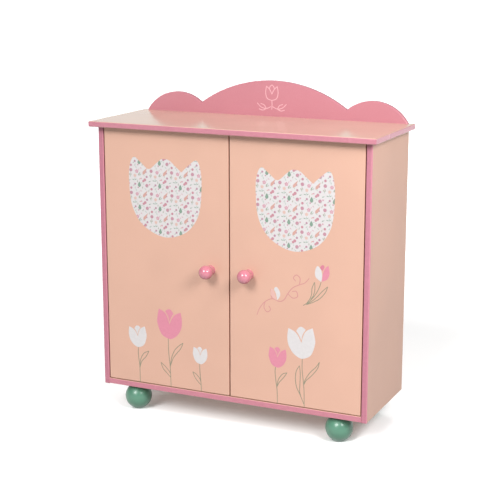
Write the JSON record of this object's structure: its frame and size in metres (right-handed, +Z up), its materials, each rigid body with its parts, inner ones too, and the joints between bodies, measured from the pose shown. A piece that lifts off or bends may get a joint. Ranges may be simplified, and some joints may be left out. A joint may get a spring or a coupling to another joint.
{
  "type": "doll's wardrobe",
  "caption": "Painted wooden doll's wardrobe on ball feet, with a scalloped crest, pivot-hung doors with ball knobs, a hanging rail and shelves inside.",
  "frame": {"origin": "on the floor under the middle of the overall box, whose depth runs from the back of the case to the tips of the knobs", "axes": "+Z up, +X to the wardrobe's right seen from the front, +Y from the doors to the back"},
  "size_m": [0.482, 0.2, 0.54],
  "materials": {
    "case_paint": "satin peach paint with dusty pink edges",
    "crest_paint": "satin dusty pink paint",
    "door_paint": "satin peach paint with a printed flower motif",
    "back_board": "satin peach paint on thin board",
    "foot_paint": "semi-gloss sage green paint",
    "knob_paint": "gloss pink paint",
    "beech": "bare turned beech",
    "socket_plastic": "moulded plastic",
    "nylon": "natural nylon",
    "catch_plastic": "moulded plastic",
    "magnet_metal": "ground",
    "zinc_steel": "zinc plated",
    "pin_steel": "drawn"
  },
  "bodies": {
    "case": {"top_board": "case_paint", "left_side_panel": "case_paint", "right_side_panel": "case_paint", "bottom_board": "case_paint", "centre_divider": "case_paint", "upper_shelf": "case_paint", "lower_shelf": "case_paint", "crest_board": "crest_paint", "back_panel": "back_board", "front_left_foot": "foot_paint", "front_right_foot": "foot_paint", "rear_left_foot": "foot_paint", "rear_right_foot": "foot_paint", "clothes_rail": "beech", "case_dowels": "beech", "shelf_dowels": "beech", "rail_socket_outer": "socket_plastic", "rail_socket_inner": "socket_plastic", "left_top_pivot_bush": "nylon", "left_bottom_pivot_bush": "nylon", "right_top_pivot_bush": "nylon", "right_bottom_pivot_bush": "nylon", "left_catch_body": "catch_plastic", "right_catch_body": "catch_plastic", "left_catch_magnet": "magnet_metal", "right_catch_magnet": "magnet_metal", "rail_socket_screws": "zinc_steel", "foot_screws": "zinc_steel", "crest_screws": "zinc_steel", "catch_screws": "zinc_steel", "back_panel_nails": "zinc_steel"},
    "left_door": {"left_door_panel": "door_paint", "left_knob": "knob_paint", "left_knob_screw": "zinc_steel", "left_top_pivot_pin": "pin_steel", "left_bottom_pivot_pin": "pin_steel", "left_strike_plate": "zinc_steel", "left_strike_screw": "zinc_steel"},
    "right_door": {"right_door_panel": "door_paint", "right_knob": "knob_paint", "right_knob_screw": "zinc_steel", "right_top_pivot_pin": "pin_steel", "right_bottom_pivot_pin": "pin_steel", "right_strike_plate": "zinc_steel", "right_strike_screw": "zinc_steel"}
  },
  "joints": [
    {"name": "left_door_pivot", "type": "hinge", "parent": "case", "child": "left_door", "pos_m": [-0.211, -0.0675, 0.26235], "axis": [0, 0, -1], "range_deg": [0, 120]},
    {"name": "right_door_pivot", "type": "hinge", "parent": "case", "child": "right_door", "pos_m": [0.211, -0.0675, 0.26235], "axis": [0, 0, 1], "range_deg": [0, 120]}
  ]
}
